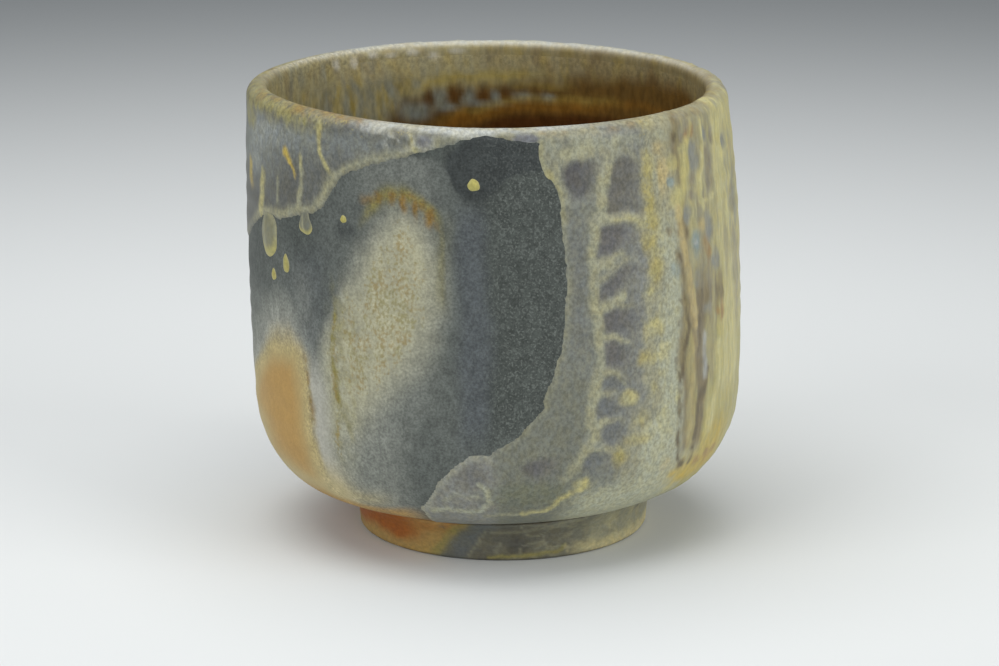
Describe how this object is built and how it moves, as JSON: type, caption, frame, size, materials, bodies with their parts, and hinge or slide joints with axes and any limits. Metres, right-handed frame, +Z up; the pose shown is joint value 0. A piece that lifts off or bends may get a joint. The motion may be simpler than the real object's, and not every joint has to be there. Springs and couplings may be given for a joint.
{
  "type": "whisky cup",
  "caption": "Thrown stoneware whisky cup with a round lip, upright wall, rounded base and turned foot ring, glossy inside and ash-glazed outside over bare dark clay.",
  "frame": {"origin": "on the wheel axis of the cup, on the plane that the foot ring stands on", "axes": "+Z up along the wheel axis; -Y is the front, where the bare clay shows through the ash glaze; +X is to the right seen from the front"},
  "size_m": [0.0836, 0.0825, 0.0772],
  "materials": {
    "stoneware": "bare dark blue-grey clay, satin, with fine pale crystal specks and a warm pale ash bloom",
    "foot_stoneware": "bare clay flashed orange-brown by the kiln, with grey-blue and olive runs of glaze",
    "liner_glaze": "glossy amber and olive-brown liner with darker spots",
    "ash_glaze": "natural ash glaze in grey-lavender, olive and straw yellow, with veins, runs and drips"
  },
  "bodies": {
    "root": {"cup_body": "stoneware", "foot_ring": "foot_stoneware", "liner_glaze": "liner_glaze", "ash_glaze_coat": "ash_glaze"}
  },
  "joints": []
}
